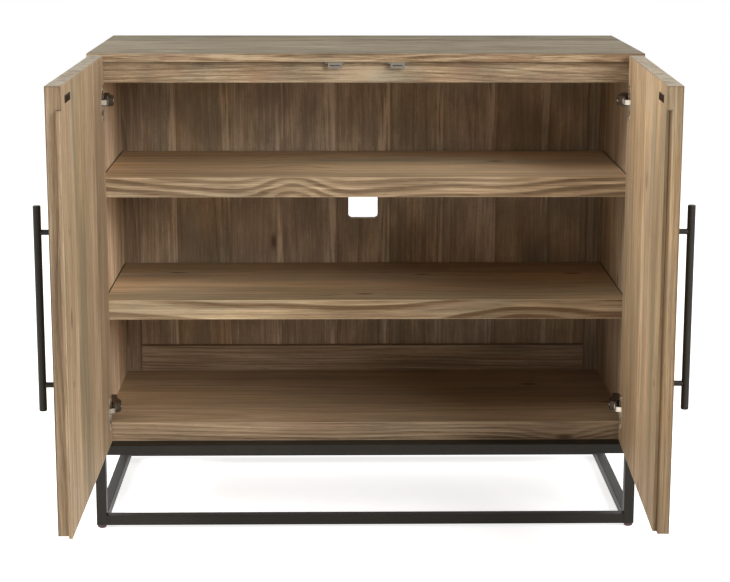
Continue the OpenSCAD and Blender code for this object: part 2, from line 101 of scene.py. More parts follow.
class Shader:
    """A material under construction: adds nodes, links them and returns their outputs."""

    def __init__(self, name):
        self.material = bpy.data.materials.new(name)
        self.material.use_nodes = True
        self.tree = self.material.node_tree
        self.tree.nodes.clear()
        self.surface = self.add("ShaderNodeBsdfPrincipled")
        output = self.add("ShaderNodeOutputMaterial")
        self.tree.links.new(self.surface.outputs["BSDF"], output.inputs["Surface"])

    def add(self, kind, **settings):
        node = self.tree.nodes.new(kind)
        for key, value in settings.items():
            setattr(node, key, value)
        return node

    def feed(self, socket, value):
        """Links an output to the socket, or sets the socket's own value."""
        if isinstance(value, bpy.types.NodeSocket):
            self.tree.links.new(value, socket)
        else:
            socket.default_value = value

    def math(self, operation, *values, clamp=False):
        node = self.add("ShaderNodeMath", operation=operation, use_clamp=clamp)
        for socket, value in zip(node.inputs, values):
            self.feed(socket, value)
        return node.outputs[0]

    def sum(self, *values):
        total = values[0]
        for value in values[1:]:
            total = self.math("ADD", total, value)
        return total

    def times(self, a, b):
        return self.math("MULTIPLY", a, b)

    def bell(self, value, middle, half):
        """1 at the middle, falling to a third at half."""
        off = self.math("DIVIDE", self.math("SUBTRACT", value, middle), half)
        return self.math("EXPONENT", self.times(self.times(off, off), -1.0))

    def inside(self, places, low, high):
        """1 inside a box, 0 outside."""
        within = 1.0
        for place, a, b in zip(places, low, high):
            within = self.times(within, self.math("COMPARE", place, (a + b) / 2, (b - a) / 2))
        return within

    def blend(self, factor, a, b):
        """Colour a with b laid over it by the factor."""
        node = self.add("ShaderNodeMix", data_type="RGBA")
        self.feed(node.inputs["Factor"], factor)
        self.feed(node.inputs["A"], a)
        self.feed(node.inputs["B"], b)
        return node.outputs["Result"]

    def vector(self, x, y, z):
        node = self.add("ShaderNodeCombineXYZ")
        for socket, value in zip(node.inputs, (x, y, z)):
            self.feed(socket, value)
        return node.outputs[0]

    def noise(self, vector, scale=1.0, detail=2.0, roughness=0.5):
        """Noise from 0 to 1, a half on average."""
        node = self.add("ShaderNodeTexNoise")
        self.feed(node.inputs["Vector"], vector)
        self.feed(node.inputs["Scale"], scale)
        self.feed(node.inputs["Detail"], detail)
        self.feed(node.inputs["Roughness"], roughness)
        return node.outputs["Fac"]

    def random(self, value):
        """Three random values from 0 to 1 for a number."""
        node = self.add("ShaderNodeTexWhiteNoise", noise_dimensions="1D")
        self.feed(node.inputs["W"], value)
        split = self.add("ShaderNodeSeparateColor")
        self.feed(split.inputs["Color"], node.outputs["Color"])
        return split.outputs[0], split.outputs[1], split.outputs[2]

    def ramp(self, value, *stops):
        """Stops are (position, level or colour)."""
        node = self.add("ShaderNodeValToRGB")
        elements = node.color_ramp.elements
        while len(elements) < len(stops):
            elements.new(1.0)
        for element, (position, level) in zip(elements, stops):
            element.position = position
            element.color = level if isinstance(level, tuple) else (level, level, level, 1.0)
        self.feed(node.inputs["Fac"], value)
        return node.outputs["Color"]

    def place(self, turn=0.0):
        """Place on the object in metres, turned about the vertical so that a door lies along the axes."""
        source = self.add("ShaderNodeTexCoord").outputs["Object"]
        if turn:
            node = self.add("ShaderNodeVectorRotate", rotation_type="Z_AXIS")
            self.feed(node.inputs["Vector"], source)
            self.feed(node.inputs["Angle"], turn)
            source = node.outputs["Vector"]
        split = self.add("ShaderNodeSeparateXYZ")
        self.feed(split.inputs[0], source)
        return source, list(split.outputs)

    def edge_distance(self, places, low, high):
        """Distance from the nearest edge of a box, for a point on its surface."""
        near = []
        for place, a, b in zip(places, low, high):
            middle, half = (a + b) / 2, (b - a) / 2
            off = self.math("ABSOLUTE", self.math("SUBTRACT", place, middle))
            near.append(self.math("SUBTRACT", half, off))
        smaller = self.math("MINIMUM", near[0], near[1])
        larger = self.math("MAXIMUM", near[0], near[1])
        return self.math("MAXIMUM", smaller, self.math("MINIMUM", larger, near[2]))

    def bump(self, height, strength, distance):
        node = self.add("ShaderNodeBump")
        self.feed(node.inputs["Height"], height)
        self.feed(node.inputs["Strength"], strength)
        self.feed(node.inputs["Distance"], distance)
        self.feed(self.surface.inputs["Normal"], node.outputs["Normal"])


# Shade of the wood: 0 is the lightest, 1 the darkest
LIGHT_SHADE = 0.02
MEAN_SHADE = 0.42
BASE_SHADE = 0.34
# How far the features of the wood move the shade
FINE_SHADE = 1.05
COARSE_SHADE = 0.70
PORE_SHADE = 0.20
PATCH_SHADE = 0.50
STAIN_SHADE = 0.40
RING_TO_RING_SHADE = 0.14
BOARD_TO_BOARD_SHADE = 0.18
# How strongly the other colours cover the wood
GREY_COVER = 0.75
KNOT_COVER = 0.85
END_COVER = 0.85
EDGE_COVER = 0.5
MARK_COVER = 0.6
# Streaks: how many in a metre across the grain and along it, and their detail
FINE = (560.0, 9.0, 3.0)
COARSE = (150.0, 2.6, 2.0)
PORES = (1100.0, 42.0, 1.0)
PATCHES = (14.0, 2.2, 3.0)
STAINS = (26.0, 5.0, 3.0)
SAP_STREAKS = (120.0, 1.6, 2.0)
STREAK_ROUGHNESS = 0.6
# Growth rings: wander and depth of their heart in metres, and the dark late wood over one ring
HEART_WANDER = 0.07
HEART_RISE = 0.055
HEART_DEPTH = 0.045
HEART_LEAST = 0.014
WIDE_LATE = ((0.0, 0.25), (0.10, 0.0), (0.34, 0.10), (0.52, 0.80), (0.82, 1.0), (1.0, 0.25))
THIN_LATE = ((0.0, 0.30), (0.12, 0.0), (0.45, 0.10), (0.74, 0.9), (0.90, 1.0), (1.0, 0.30))
THIN_LINE = ((0.0, 1.0), (0.10, 0.5), (0.16, 0.0), (0.94, 0.0), (1.0, 1.0))
# Knots: the dark core, and how far they swell the rings, in cells
KNOT_CORE = ((0.020, 1.0), (0.060, 0.0))
KNOT_REACH = 0.2
KNOT_SWELL = 2.2
# A face counts as facing a way from the first value of its normal, and fully from the second
FACING = ((0.60, 0.0), (0.90, 1.0))
END_FACING = ((0.75, 0.0), (0.95, 1.0))
# Size of the other features: how many in a metre
KNOTS_ACROSS = 7.0
KNOTS_ALONG = 2.6
JITTER_ACROSS = 60.0
JITTER_ALONG = 5.0
SPECKLES = 420.0
BLOTCHES = 38.0
# Relief of the brushed surface
RELIEF_STRENGTH = 0.6
RELIEF_HEIGHT = 0.0008
# Numbers of the seeds, which set one panel's figure apart from the next one's
SEED_START = 3.7
SEED_BOARD = 7.31
SEED_KNOT = 1.9
SEED_RING = 13.0
START_SPREAD = 40.0
BEFORE_EDGE = 0.0001  # the first board starts this far outside the piece


def pine(
    name, box, grain, across, seed, turn=0.0,
    board=0.12, tone=1.0, top_tone_and_painted_light=1.0, outer_painted_light=1.0, vivid=1.0, red=0.40, vary=1.0,
    rings=0.3, ring_width=0.006, bands=False, waves=(), knots=0.22, streaky=1.0, chop=1.0, sap=0.12,
    top_sheen=0.0, weathered=PINE_GREY, top_smooth=0.0, gloss=0.2, edge=PINE_WORN, edge_width=0.0024,
    marks=(), painted_light_and_tone_ovals=(),
):
    """Brushed, weathered pine cut from boards.

    box: the piece's box, in the turned frame if the piece is turned; grain and across are axis numbers
    board, vary: width of a board, and how much the boards differ
    tone, top_tone_and_painted_light, outer_painted_light: brightness of all; of faces that look up, mostly
    painted light; of outer sides and back, painted light that sets them apart from the other faces
    vivid, red: saturation, and how strong the reddish patches are
    rings, ring_width, bands: contrast and width of the growth rings; bands makes their dark part wide
    waves: (along, half length, number of rings) where the rings bend
    knots: share of the places for a knot that have one
    streaky, chop: contrast of the brushed streaks, and how much shorter than usual they are
    sap: how much lighter the sapwood at a board's side is
    top_sheen, weathered, top_smooth: faces that look up are covered with painted sheen in the weathered
    colour, or smoother
    gloss, edge, edge_width: specular level, and colour and greatest width of the rubbed or darkened edges
    marks: (low corner, high corner, amount) of darkened boxes, most of them painted shade in gaps, joints and
    recesses
    painted_light_and_tone_ovals: (along, across, half length, half width, amount) of ovals, lighter, or
    darker where negative; on the inner pieces and the right door they are painted light and painted shade
    """
    s = Shader(name)
    depth = 3 - grain - across
    low, high = box
    source, places = s.place(turn)
    along, side = places[grain], places[across]
    inward = s.math("SUBTRACT", places[depth], (low[depth] + high[depth]) / 2)

    def about_zero(value, amount):
        return s.times(s.math("SUBTRACT", value, 0.5), amount)

    # Boards: number of the board, place across it, and three random values for each
    shifted = s.math("DIVIDE", s.math("SUBTRACT", side, low[across] - BEFORE_EDGE), board)
    number = s.math("FLOOR", shifted)
    over = s.times(s.math("SUBTRACT", s.math("SUBTRACT", shifted, number), 0.5), board)
    rand_a, rand_b, rand_c = s.random(s.math("ADD", number, seed * SEED_BOARD))
    start = s.math("MULTIPLY_ADD", rand_a, START_SPREAD, seed * SEED_START)

    # Sparse knots, and how far each point is from the nearest one
    knot_side = s.math("MULTIPLY_ADD", s.math("ADD", side, inward), KNOTS_ACROSS, seed * SEED_KNOT)
    knot_at = s.vector(knot_side, s.times(s.math("ADD", along, start), KNOTS_ALONG), 0.0)
    cells = s.add("ShaderNodeTexVoronoi", voronoi_dimensions="2D", feature="F1")
    s.feed(cells.inputs["Vector"], knot_at)
    s.feed(cells.inputs["Scale"], 1.0)
    from_knot = cells.outputs["Distance"]
    picked = s.add("ShaderNodeSeparateColor")
    s.feed(picked.inputs["Color"], cells.outputs["Color"])
    is_knot = s.math("LESS_THAN", picked.outputs[0], knots)
    swell = s.times(is_knot, s.bell(from_knot, 0.0, KNOT_REACH))
    knot = s.times(is_knot, s.ramp(from_knot, *KNOT_CORE))

    # Growth rings round a heart that wanders along the board
    wander = s.noise(s.vector(s.math("MULTIPLY_ADD", along, 0.9, start), rand_b, 0.0), detail=1.0)
    rise = s.noise(s.vector(s.math("MULTIPLY_ADD", along, 1.3, start), rand_c, 5.0), detail=1.5)
    heart_side = s.sum(about_zero(rand_b, 2.2 * board), about_zero(wander, HEART_WANDER))
    heart_start = s.math("MULTIPLY_ADD", rand_c, HEART_DEPTH, HEART_LEAST)
    heart_depth = s.sum(heart_start, s.times(rise, HEART_RISE), inward)
    reach = s.math("SUBTRACT", over, heart_side)
    radius = s.math("SQRT", s.math("ADD", s.times(reach, reach), s.times(heart_depth, heart_depth)))
    jitter_in = s.math("MULTIPLY_ADD", inward, JITTER_ACROSS, start)
    jitter_at = s.vector(s.times(side, JITTER_ACROSS), s.times(along, JITTER_ALONG), jitter_in)
    jitter = s.noise(jitter_at)
    spacing = s.math("MULTIPLY_ADD", rand_a, 0.6 * ring_width, 0.7 * ring_width)
    phase = s.sum(s.math("DIVIDE", radius, spacing), s.times(jitter, 0.9), s.times(swell, KNOT_SWELL))
    for middle, half, count in waves:
        phase = s.sum(phase, s.times(s.bell(along, middle, half), count))
    ring_number = s.math("FLOOR", phase)
    in_ring = s.math("SUBTRACT", phase, ring_number)
    ring_rand = s.random(s.math("MULTIPLY_ADD", number, SEED_RING, ring_number))
    late = s.ramp(in_ring, *(WIDE_LATE if bands else THIN_LATE))
    dark_rings = s.times(late, s.math("MULTIPLY_ADD", ring_rand[0], 0.8, 0.2))
    light_rings = s.times(s.ramp(in_ring, *THIN_LINE), ring_rand[2])

    # Brushed streaks, pores and weathered patches
    def streaks(kind, offset):
        per_across, per_along, detail = kind
        moved = s.math("MULTIPLY_ADD", along, per_along * chop, offset)
        at = s.vector(s.times(side, per_across), s.times(inward, per_across), moved)
        return s.noise(at, detail=detail, roughness=STREAK_ROUGHNESS)

    fine = streaks(FINE, start)
    coarse = streaks(COARSE, seed)
    pores = s.ramp(streaks(PORES, seed + 3.0), (0.30, 1.0), (0.40, 0.0))
    patch = streaks(PATCHES, seed + 9.0)
    stain = streaks(STAINS, seed + 23.0)
    share = s.math("SUBTRACT", shifted, number)
    sap_streak = s.ramp(streaks(SAP_STREAKS, seed + 31.0), (0.44, 0.0), (0.56, 1.0))
    sapwood = s.times(s.ramp(share, (0.76, 0.0), (0.90, 1.0)), sap_streak)
    joint_side = s.ramp(share, (0.01, 1.0), (0.10, 0.0))

    shade = s.sum(
        BASE_SHADE,
        s.times(dark_rings, rings),
        s.times(light_rings, -0.35 * rings),
        about_zero(ring_rand[1], RING_TO_RING_SHADE),
        about_zero(fine, FINE_SHADE * streaky),
        about_zero(coarse, COARSE_SHADE * streaky),
        s.times(pores, PORE_SHADE),
        about_zero(patch, PATCH_SHADE),
        about_zero(stain, STAIN_SHADE),
        about_zero(rand_c, BOARD_TO_BOARD_SHADE * vary),
        s.times(sapwood, -sap),
        s.times(joint_side, 0.3 * sap),
    )
    # Faces that look up can be smoother; top_sheen covers them at the end with painted sheen
    normal = s.add("ShaderNodeSeparateXYZ")
    s.feed(normal.inputs[0], s.add("ShaderNodeNewGeometry").outputs["True Normal"])
    upward = s.ramp(normal.outputs[2], *FACING)
    if top_smooth:
        to_mean = s.math("SUBTRACT", MEAN_SHADE, shade)
        shade = s.sum(shade, s.times(s.times(upward, top_smooth), to_mean))
    # Ovals that lighten the shade, or darken it where negative: painted light and painted shade on the inner
    # pieces and the right door
    spread = s.math("MULTIPLY_ADD", jitter, 0.03, along)
    for middle, mid_side, half, half_side, amount in painted_light_and_tone_ovals:
        oval = s.times(s.bell(spread, middle, half), s.bell(side, mid_side, half_side))
        shade = s.sum(shade, s.times(oval, -amount))
    light, middling, dark = linear(PINE_LIGHT), linear(PINE_MID), linear(PINE_DARK)
    colour = s.ramp(shade, (LIGHT_SHADE, light), (MEAN_SHADE, middling), (1.0, dark))
    greyed = s.ramp(s.sum(patch, about_zero(rand_a, 0.3 * vary)), (0.44, 0.0), (0.72, GREY_COVER))
    colour = s.blend(greyed, colour, s.blend(shade, linear(PINE_GREY), dark))
    reddish = s.ramp(s.sum(stain, about_zero(rand_b, 0.2 * vary)), (0.55, 0.0), (0.80, red))
    colour = s.blend(reddish, colour, linear(PINE_RED))
    colour = s.blend(s.times(knot, KNOT_COVER), colour, linear(PINE_KNOT))

    # End grain, its light grey partly painted sheen; rubbed or darkened edges; and dark marks, most of them
    # painted shade
    if grain == 2:
        end = s.ramp(s.math("ABSOLUTE", normal.outputs[grain]), *END_FACING)
        speckle = s.ramp(s.noise(source, SPECKLES, detail=3.0, roughness=0.7), (0.42, 0.0), (0.62, 1.0))
        cut = s.blend(speckle, linear(PINE_END_AND_SHEEN), linear(PINE_END_DARK))
        blotch = s.ramp(s.noise(source, BLOTCHES, detail=3.0, roughness=0.65), (0.50, 0.0), (0.62, 0.75))
        cut = s.blend(blotch, cut, linear(PINE_END_STAIN))
        colour = s.blend(s.times(end, END_COVER), colour, cut)
    from_edge = s.edge_distance(places, low, high)
    rub = s.sum(s.times(coarse, edge_width), -0.15 * edge_width)
    worn = s.math("LESS_THAN", from_edge, rub)
    colour = s.blend(s.times(worn, EDGE_COVER), colour, linear(edge))
    # Dark marks: lines along edges, and painted shade in gaps, joints and recesses
    for corner, other, amount in marks:
        uneven = s.math("MULTIPLY_ADD", coarse, MARK_COVER * amount, MARK_COVER * amount)
        darkened = s.times(s.inside(places, corner, other), uneven)
        colour = s.blend(darkened, colour, linear(PINE_SHADE_AND_DARK_EDGE))
    # Painted sheen: faces that look up are covered with a grey that stands for the sheen they catch
    if top_sheen:
        sheened = s.blend(shade, linear(weathered), dark)
        colour = s.blend(s.times(upward, top_sheen), colour, sheened)
    adjust = s.add("ShaderNodeHueSaturation")
    value = s.math("MULTIPLY_ADD", rand_b, 0.20 * vary, tone - 0.10 * vary)
    # Painted light: faces that look up, and outer sides and back, are made lighter or darker than the rest
    if top_tone_and_painted_light != 1.0:
        value = s.times(value, s.math("MULTIPLY_ADD", upward, top_tone_and_painted_light - 1.0, 1.0))
    if outer_painted_light != 1.0:
        sideways = s.times(normal.outputs[0], s.math("SIGN", places[0]))
        outward = s.ramp(s.math("MAXIMUM", sideways, normal.outputs[1]), *FACING)
        value = s.times(value, s.math("MULTIPLY_ADD", outward, outer_painted_light - 1.0, 1.0))
    s.feed(adjust.inputs["Value"], value)
    s.feed(adjust.inputs["Saturation"], s.math("MULTIPLY_ADD", rand_a, 0.18, vivid - 0.09))
    s.feed(adjust.inputs["Color"], colour)

    s.feed(s.surface.inputs["Base Color"], adjust.outputs["Color"])
    s.feed(s.surface.inputs["Roughness"], s.math("MULTIPLY_ADD", fine, 0.30, 0.46))
    s.surface.inputs["Specular IOR Level"].default_value = gloss
    streak_height = s.sum(s.times(fine, -0.6), s.times(dark_rings, -0.5))
    height = s.sum(streak_height, s.times(pores, -0.5), s.times(coarse, -0.4))
    s.bump(height, RELIEF_STRENGTH, RELIEF_HEIGHT)
    return s.material


COAT_GLOSS = 0.24
COAT_WEAR = 0.35
MOTTLE = 1.2  # how much lighter the light patches of plastic are
BRUSH_LINES = (700.0, 700.0, 90.0)  # in a metre, for each axis


def powder_coat(name, colour, worn_colour, roughness):
    """Satin dark coating with a fine orange-peel skin and a few rubbed patches."""
    s = Shader(name)
    source = s.place()[0]
    cloud = s.noise(source, scale=9.0, detail=3.0)
    grit = s.noise(source, scale=900.0, detail=2.0)
    peel = s.noise(source, scale=260.0, detail=1.0)
    rubbed = s.ramp(s.sum(s.times(cloud, 0.7), s.times(grit, 0.4)), (0.58, 0.0), (0.80, COAT_WEAR))
    s.feed(s.surface.inputs["Base Color"], s.blend(rubbed, linear(colour), linear(worn_colour)))
    s.feed(s.surface.inputs["Roughness"], s.sum(roughness - 0.08, s.times(cloud, 0.16)))
    s.surface.inputs["Specular IOR Level"].default_value = COAT_GLOSS
    s.bump(s.sum(s.times(grit, 0.4), peel), strength=0.12, distance=0.0004)
    return s.material


def plated(name, colour, cloud_colour):
    """Satin metal plate with a faint brushed grain."""
    s = Shader(name)
    source, places = s.place()
    stretched = [s.times(place, per_metre) for place, per_metre in zip(places, BRUSH_LINES)]
    brushed = s.noise(s.vector(*stretched))
    cloud = s.noise(source, scale=60.0)
    s.feed(s.surface.inputs["Base Color"], s.blend(cloud, linear(colour), linear(cloud_colour)))
    s.surface.inputs["Metallic"].default_value = 1.0
    s.feed(s.surface.inputs["Roughness"], s.math("MULTIPLY_ADD", brushed, 0.22, 0.24))
    s.bump(brushed, strength=0.08, distance=0.0002)
    return s.material


def moulded(name, colour, roughness):
    """Moulded plastic with a faintly mottled skin."""
    s = Shader(name)
    source = s.place()[0]
    grain = s.noise(source, scale=1200.0)
    cloud = s.noise(source, scale=70.0)
    lighter = tuple(min(255, c * MOTTLE) for c in colour)
    s.feed(s.surface.inputs["Base Color"], s.blend(cloud, linear(colour), linear(lighter)))
    s.feed(s.surface.inputs["Roughness"], s.math("MULTIPLY_ADD", cloud, 0.15, roughness))
    s.bump(grain, strength=0.1, distance=0.0003)
    return s.material


def dress(node, material):
    """Gives a CAD node its material."""
    if not NODES[node].material_slots:
        NODES[node].data.materials.append(material)
    for entry in NODES[node].material_slots:
        entry.material = material


SAME_PLACE = 0.00001
SHARP = math.radians(40)


def soften(node, width):
    """Breaks the sharp edges of a CAD node."""
    shape = NODES[node]
    weld = shape.modifiers.new("join_faces", "WELD")
    weld.merge_threshold = SAME_PLACE
    bevel = shape.modifiers.new("broken_edge", "BEVEL")
    bevel.width = width
    bevel.segments = 2
    bevel.limit_method = "ANGLE"
    bevel.angle_limit = SHARP
    bevel.use_clamp_overlap = False


X, Y, Z = 0, 1, 2
RIGHT_TURN = math.radians(2.5)


def turned_box(node, turn):
    """Box of a node's points in the frame turned about the vertical."""
    turning = Matrix.Rotation(turn, 3, "Z")
    points = [turning @ v.co for v in NODES[node].data.vertices]
    return [min(p[i] for p in points) for i in range(3)], [max(p[i] for p in points) for i in range(3)]


# Dark lines on edges, and painted shade along joints and in narrow gaps
LINE = 0.0015
DOOR_TOP_LINE = 0.0012
SHELF_LINE = 0.0014
SKIN = 0.001  # how far a mark reaches to each side of the face that it lies on
SHELF_SHADE = 1.5
SHELF_GAP_SHADE = 1.3
JOINT_SHADE = 0.75
# The left door's lip and the right door's rebate
LIP_THICK = 0.006
LIP_REACH = 0.012
LIP_TOP_GAP = 0.038
REBATE_DEEP = 0.0065
REBATE_REACH = 0.014


def left_door_marks():
    """Dark lines on the left door's free edge: lines along its edges, painted shade in the groove beside the
    lip and at the lip's top end, and a faint darkening over the whole edge.
    """
    low, high = turned_box("left_door_panel", 0.0)
    edge, step, top = low[1] + LIP_REACH, high[0] - LIP_THICK, high[2] - LIP_TOP_GAP
    near, far = edge - SKIN, edge + SKIN
    return (
        ((low[0], near, low[2]), (low[0] + LINE, edge + 2 * SKIN, high[2]), 0.9),
        ((high[0] - LINE, near, top), (high[0], far, high[2]), 0.9),
        ((low[0], near, high[2] - LINE), (high[0], far, high[2]), 0.9),
        # Painted shade in the groove beside the lip and at the lip's top end
        ((step - 1.3 * LINE, near, low[2]), (step, far, top), 1.0),
        ((step - 2 * LINE, near, top), (high[0], far, top + LINE), 0.8),
        ((high[0] - LINE, edge, high[2] - DOOR_TOP_LINE), high, 0.6),
        ((low[0], near, low[2]), (high[0], edge + SKIN / 2, high[2] - LINE), 0.28),
    )


def right_door_marks():
    """Dark lines on the right door's free edge: lines along its edges, painted shade on the rebate's face, in
    its corner and at its top end, and a faint darkening over the whole edge.
    """
    low, high = turned_box("right_door_panel", RIGHT_TURN)
    edge, step, top = low[1], low[0] + REBATE_DEEP, high[2] - LIP_TOP_GAP
    near, far = edge - SKIN, edge + SKIN
    return (
        ((high[0] - LINE, near, low[2]), (high[0], edge + 2 * SKIN, high[2]), 0.9),
        ((low[0], near, top), (low[0] + LINE, far, high[2]), 0.9),
        ((low[0], near, high[2] - LINE), (high[0], far, high[2]), 0.9),
        # Painted shade in the rebate's corner, at its top end and on its face
        ((step, near, low[2]), (step + LINE, far, top), 0.7),
        ((low[0], near, top), (step + 2 * LINE, far, top + LINE), 0.8),
        ((step - LINE, far, low[2]), (step + SKIN, edge + REBATE_REACH, top), 0.8),
        ((low[0], edge, high[2] - DOOR_TOP_LINE), (low[0] + LINE, high[1], high[2]), 0.6),
        ((low[0], near, low[2]), (high[0], edge + SKIN / 2, high[2] - LINE), 0.42),
    )


def shelf_end_marks(panel):
    """Painted shade on a side panel, in the gaps where the shelves end."""
    low, high = turned_box(panel, 0.0)
    marks = []
    for shelf in ("upper_shelf", "lower_shelf"):
        shelf_low, shelf_high = turned_box(shelf, 0.0)
        corner = (low[0], shelf_low[1], shelf_low[2])
        other = (high[0], shelf_high[1], shelf_high[2] - SKIN)
        marks.append((corner, other, SHELF_GAP_SHADE))
    return tuple(marks)


def shelf_marks(shelf):
    """Painted shade on a shelf's ends and the strips next to them, by the gaps at the side panels."""
    low, high = turned_box(shelf, 0.0)
    left = (low, (low[0] + SHELF_LINE, high[1], high[2]), SHELF_SHADE)
    right = ((high[0] - SHELF_LINE, low[1], low[2]), high, SHELF_SHADE)
    return (left, right)


def joint_line(node, at_top):
    """Painted shade: a dark line on a front face along the joint between the top and the rail under it."""
    low, high = turned_box(node, 0.0)
    level = high[2] - LINE if at_top else low[2]
    return (((low[0], low[1] - SKIN, level), (high[0], low[1] + SKIN, level + LINE), JOINT_SHADE),)


def frame_line(node, axis, at_top, amount):
    """Painted shade: a dark line along the edge where a piece of the back frame meets the back boards."""
    low, high = turned_box(node, 0.0)
    corner, other = list(low), list(high)
    if at_top:
        corner[axis] = high[axis] - LINE
    else:
        other[axis] = low[axis] + LINE
    return ((tuple(corner), tuple(other), amount),)


BACK_WIDTH = 0.984
BACK_SPARE = 0.0004  # keeps the joints between the nine boards off the ends
BACK_BOARD = (BACK_WIDTH + BACK_SPARE) / 9
# Painted shade in the cable hole through the back boards
CABLE_HOLE_MARKS = (((-0.0285, 0.172, 0.5215), (0.0285, 0.196, 0.5795), 1.0),)
# Looks that several pieces share
FRAME = {"board": 0.09, "vivid": 0.9}
DOOR = {"board": 0.13, "rings": 0.24, "streaky": 0.85}
PLUG = {"board": 0.13}
INNER_TOP = {"top_smooth": 0.5, "bands": True}
# Wood: grain axis, axis across the boards, and what differs from the plain look
WOOD = {
    "top_panel": (X, Y, {
        "board": 0.135, "tone": 0.70, "top_tone_and_painted_light": 0.92, "outer_painted_light": 1.45, "vivid": 1.05,
        "rings": 0.60, "streaky": 2.0, "chop": 2.0,
        # Painted sheen on the upper face, greenish grey
        "top_sheen": 0.60, "weathered": PINE_SHEEN_GREEN, "gloss": 0.10, "edge": PINE_SHADE_AND_DARK_EDGE,
        "marks": joint_line("top_panel", False),
        "painted_light_and_tone_ovals": ((-0.25, -0.203, 0.22, 0.012, 0.30),),
    }),
    "left_side_panel": (Z, Y, {
        # Painted light: the inner face is made much lighter, and the outer face is brought back down
        "tone": 1.87, "outer_painted_light": 0.64, "vivid": 0.92, "marks": shelf_end_marks("left_side_panel"),
    }),
    "right_side_panel": (Z, Y, {
        "tone": 1.16, "vivid": 0.92, "marks": shelf_end_marks("right_side_panel"),
    }),
    "bottom_panel": (X, Y, INNER_TOP | {
        "tone": 1.14, "top_tone_and_painted_light": 1.08, "vivid": 0.96, "rings": 0.45, "ring_width": 0.008,
        # Painted shade on the right of the bottom and on its front edge there
        "painted_light_and_tone_ovals": ((0.20, 0.00, 0.36, 0.14, -0.20), (0.38, -0.203, 0.14, 0.03, -0.16)),
    }),
    "front_top_rail": (X, Z, {
        "board": 0.09, "tone": 0.83, "vivid": 0.94, "rings": 0.34, "streaky": 1.25, "chop": 2.6,
        "edge": PINE_SHADE_AND_DARK_EDGE, "marks": joint_line("front_top_rail", True),
        "painted_light_and_tone_ovals": (
            (0.02, 0.855, 0.060, 0.014, 0.64),
            (-0.30, 0.85, 0.10, 0.012, 0.08),
            (0.33, 0.86, 0.12, 0.012, 0.04),
        ),
    }),
    "back_boards": (Z, X, {
        "board": BACK_BOARD, "tone": 1.22, "vivid": 0.84, "red": 0.12, "vary": 0.45,
        "rings": 0.15, "knots": 0.12, "streaky": 0.62, "chop": 2.6, "sap": 0.44,
        "marks": CABLE_HOLE_MARKS,
        # Painted shade low across the back boards and on their left middle
        "painted_light_and_tone_ovals": ((0.28, 0.06, 0.10, 0.50, -0.14), (0.55, -0.22, 0.12, 0.16, -0.12)),
    }),
    "left_back_stile": (Z, X, FRAME | {"marks": frame_line("left_back_stile", X, True, 0.4)}),
    "right_back_stile": (Z, X, FRAME | {"marks": frame_line("right_back_stile", X, False, 0.6)}),
    "top_back_rail": (X, Z, FRAME),
    "bottom_back_rail": (X, Z, FRAME | {"marks": frame_line("bottom_back_rail", Z, True, 1.2)}),
    "upper_shelf": (X, Y, INNER_TOP | {
        "tone": 1.27, "top_tone_and_painted_light": 1.32, "vivid": 1.0, "rings": 0.66, "ring_width": 0.010,
        "waves": ((-0.135, 0.06, -1.9), (0.26, 0.09, 0.8)),
        "marks": shelf_marks("upper_shelf"),
        # Painted light on the middle and right of the top, and painted shade on two places of the front
        "painted_light_and_tone_ovals": (
            (0.18, 0.02, 0.36, 0.13, 0.34),
            (0.42, 0.00, 0.16, 0.13, 0.58),
            (0.06, -0.1775, 0.13, 0.03, -0.24),
            (0.42, -0.1775, 0.12, 0.03, -0.16),
        ),
    }),
    "lower_shelf": (X, Y, INNER_TOP | {
        "tone": 1.43, "top_tone_and_painted_light": 0.97, "vivid": 0.97, "rings": 0.55, "ring_width": 0.0065, "knots": 0.4,
        "waves": ((-0.30, 0.12, 0.5), (0.30, 0.13, -0.9)),
        "marks": shelf_marks("lower_shelf"),
        # Painted light on the left of the top, and painted shade on its right and on two places of the front
        "painted_light_and_tone_ovals": (
            (-0.40, -0.10, 0.15, 0.09, 0.42),
            (0.15, 0.03, 0.34, 0.12, -0.20),
            (0.36, -0.1775, 0.14, 0.03, -0.16),
            (0.02, -0.1775, 0.12, 0.03, -0.18),
        ),
    }),
    "left_door_panel": (Z, Y, DOOR | {"tone": 1.08, "marks": left_door_marks()}),
    "right_door_panel": (Z, Y, DOOR | {
        # Painted light: the door is made lighter than the left door, partly standing for the stronger light
        # on it
        "tone": 1.30, "turn": RIGHT_TURN, "marks": right_door_marks(),
        # Painted shade low on the door, towards its free edge
        "painted_light_and_tone_ovals": ((0.22, -0.48, 0.12, 0.40, -0.12),),
    }),
    "dowels": (Z, X, {"board": 0.05}),
    "left_bolt_plugs": (Z, Y, PLUG),
    "right_bolt_plugs": (Z, Y, PLUG | {"turn": RIGHT_TURN}),
}
# Widths of the broken edges
SOFT_WOOD = 0.0009
SOFT_TUBE = 0.0011
SOFT_HARDWARE = 0.0003
for seed, (node, (grain, across, look)) in enumerate(WOOD.items(), start=1):
    box = turned_box(node, look.get("turn", 0.0))
    dress(node, pine("pine_" + node, box, grain, across, seed, **look))
    if "shelf" in node or "stile" in node or "back_rail" in node:
        soften(node, SOFT_WOOD)

metal = powder_coat("bronze_coat", BRONZE, BRONZE_WORN, roughness=0.46)
plate = plated("satin_nickel", NICKEL, NICKEL_CLOUD)
strike = plated("dark_strike", STRIKE, STRIKE_CLOUD)
